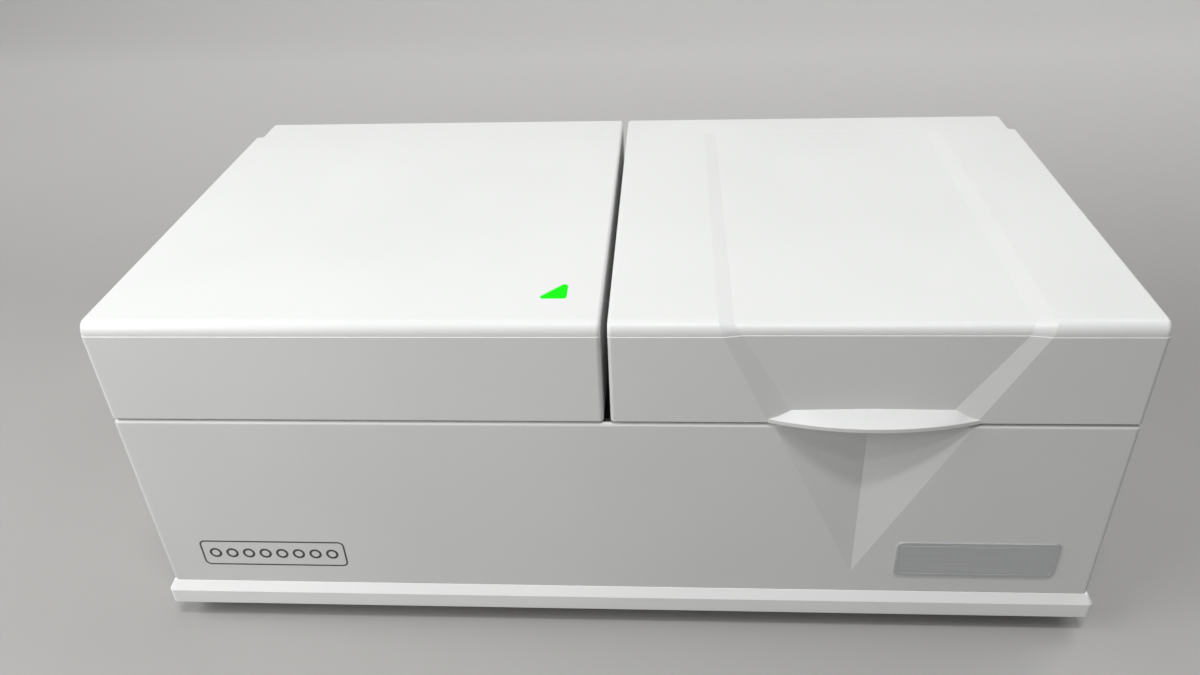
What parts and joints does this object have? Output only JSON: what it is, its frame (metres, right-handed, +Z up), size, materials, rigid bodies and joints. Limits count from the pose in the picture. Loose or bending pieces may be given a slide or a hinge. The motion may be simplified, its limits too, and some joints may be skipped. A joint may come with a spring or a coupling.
{
  "type": "microplate reader",
  "caption": "Benchtop absorbance microplate reader: white moulded case, rear-hinged plate lid and service lid, belt-driven plate carrier under a filter-wheel optical head.",
  "frame": {"origin": "middle of the bounding box in width and depth, on the surface that the feet stand on", "axes": "+X to the right along the width, the front with the handle faces -Y, +Z up"},
  "size_m": [0.3344, 0.1784, 0.1296],
  "materials": {
    "case_plastic": "fine moulded grain",
    "lid_plastic": "fine moulded grain, satin",
    "tray_plastic": "satin",
    "foot_rubber": "matt",
    "seal_foam": "matt",
    "bright_steel": "satin",
    "bush_bronze": "machined",
    "panel_paint": "fine textured paint",
    "black_plastic": "satin",
    "pin_brass": "bright",
    "drawer_plastic": "satin",
    "rocker_plastic": "semi-gloss",
    "socket_shell": "bright plated",
    "fan_plastic": "satin",
    "badge_silver": "satin anodised",
    "indicator_green": "glowing light guide",
    "board_green": "solder mask",
    "deck_aluminium": "brushed sheet",
    "rod_steel": "ground and polished",
    "carrier_plastic": "fine moulded grain",
    "bearing_polymer": "machined polymer",
    "belt_rubber": "toothed belt",
    "motor_paint": "satin black",
    "pulley_aluminium": "machined",
    "anodised_black": "black anodised",
    "lens_glass": "polished",
    "filter_glass": "interference coating",
    "fibre_jacket": "extruded jacket",
    "diode_dark": "glass-topped chips",
    "lamp_aluminium": "finned casting",
    "lamp_ceramic": "ceramic holder and glass capsule",
    "parts_dark": "moulded chips and connectors",
    "zinc_steel": "zinc-plated sheet"
  },
  "bodies": {
    "case": {"base_tray": "tray_plastic", "feet": "foot_rubber", "case_screws": "bright_steel", "lower_housing": "case_plastic", "light_seal": "seal_foam", "hinge_shaft": "bright_steel", "hinge_bracket": "zinc_steel", "rear_panel": "panel_paint", "power_inlet": "black_plastic", "inlet_pins": "pin_brass", "switch_frame": "black_plastic", "usb_port": "socket_shell", "fan_frame": "fan_plastic", "fan_guard": "bright_steel", "badge": "badge_silver", "deck_plate": "deck_aluminium", "deck_pillars": "bright_steel", "guide_rods": "rod_steel", "rod_supports": "anodised_black", "drive_belt": "belt_rubber", "motor_brackets": "zinc_steel", "drive_motor": "motor_paint", "idler_axle": "bright_steel", "light_baffle": "anodised_black", "chamber_liner": "black_plastic", "optics_bridge": "anodised_black", "lens_row": "lens_glass", "fibre_bundle": "fibre_jacket", "detector_bar": "anodised_black", "photodiodes": "diode_dark", "detector_board": "board_green", "lamp_housing": "lamp_aluminium", "lamp_bulb": "lamp_ceramic", "condenser_lens": "lens_glass", "filter_motor": "zinc_steel", "main_board": "board_green", "board_parts": "parts_dark", "power_supply": "zinc_steel"},
    "service_lid": {"service_lid": "lid_plastic", "service_lid_bushes": "bush_bronze", "indicator_lens": "indicator_green", "indicator_board": "board_green"},
    "plate_lid": {"plate_lid": "lid_plastic", "plate_lid_bushes": "bush_bronze"},
    "plate_carrier": {"plate_carrier": "carrier_plastic", "carrier_bearings": "bearing_polymer", "clamp_pin": "bright_steel", "clamp_spring": "bright_steel", "belt_clamp": "anodised_black"},
    "clamp_lever": {"clamp_lever": "zinc_steel"},
    "motor_pulley": {"motor_shaft": "bright_steel", "motor_pulley": "pulley_aluminium"},
    "idler_pulley": {"idler_pulley": "pulley_aluminium"},
    "filter_wheel": {"filter_wheel": "anodised_black", "optical_filters": "filter_glass", "wheel_shaft": "bright_steel"},
    "fan_rotor": {"fan_rotor": "fan_plastic"},
    "switch_rocker": {"switch_rocker": "rocker_plastic"},
    "fuse_drawer": {"fuse_drawer": "drawer_plastic"}
  },
  "joints": [
    {"name": "plate_lid_hinge", "type": "hinge", "parent": "case", "child": "plate_lid", "pos_m": [0.082, 0.08217, 0.0979], "axis": [-1, 0, 0], "range_deg": [0, 85]},
    {"name": "service_lid_hinge", "type": "hinge", "parent": "case", "child": "service_lid", "pos_m": [-0.082, 0.08217, 0.0979], "axis": [-1, 0, 0], "range_deg": [0, 85]},
    {"name": "plate_carrier_slide", "type": "slide", "parent": "case", "child": "plate_carrier", "axis": [-1, 0, 0], "range_m": [0, 0.152]},
    {"name": "motor_pulley_spin", "type": "hinge", "parent": "case", "child": "motor_pulley", "pos_m": [-0.143, 0.03327, 0.0825], "axis": [0, 1, 0], "range_deg": [0, 1680]},
    {"name": "idler_pulley_spin", "type": "hinge", "parent": "case", "child": "idler_pulley", "pos_m": [0.15, 0.03327, 0.0825], "axis": [0, 1, 0], "range_deg": [0, 1680]},
    {"name": "clamp_lever_pivot", "type": "hinge", "parent": "plate_carrier", "child": "clamp_lever", "pos_m": [0.0154, 0.00978, 0.087], "axis": [0, 0, -1], "range_deg": [0, 6], "stiffness_Nm_per_rad": 0.05, "springref_deg": -11.46},
    {"name": "filter_wheel_spin", "type": "hinge", "parent": "case", "child": "filter_wheel", "pos_m": [-0.075, 0.05727, 0.09], "axis": [1, 0, 0], "continuous": true},
    {"name": "fan_rotor_spin", "type": "hinge", "parent": "case", "child": "fan_rotor", "pos_m": [0.092, 0.07637, 0.052], "axis": [0, 1, 0], "continuous": true},
    {"name": "switch_rocker_tilt", "type": "hinge", "parent": "case", "child": "switch_rocker", "pos_m": [-0.076, 0.07977, 0.048], "axis": [1, 0, 0], "range_deg": [0, 12]},
    {"name": "fuse_drawer_slide", "type": "slide", "parent": "case", "child": "fuse_drawer", "axis": [0, 1, 0], "range_m": [0, 0.014]}
  ],
  "couplings": [
    {"joint": "motor_pulley_spin", "follows": "plate_carrier_slide", "rad_per_m": 192.31},
    {"joint": "idler_pulley_spin", "follows": "plate_carrier_slide", "rad_per_m": 192.31}
  ]
}
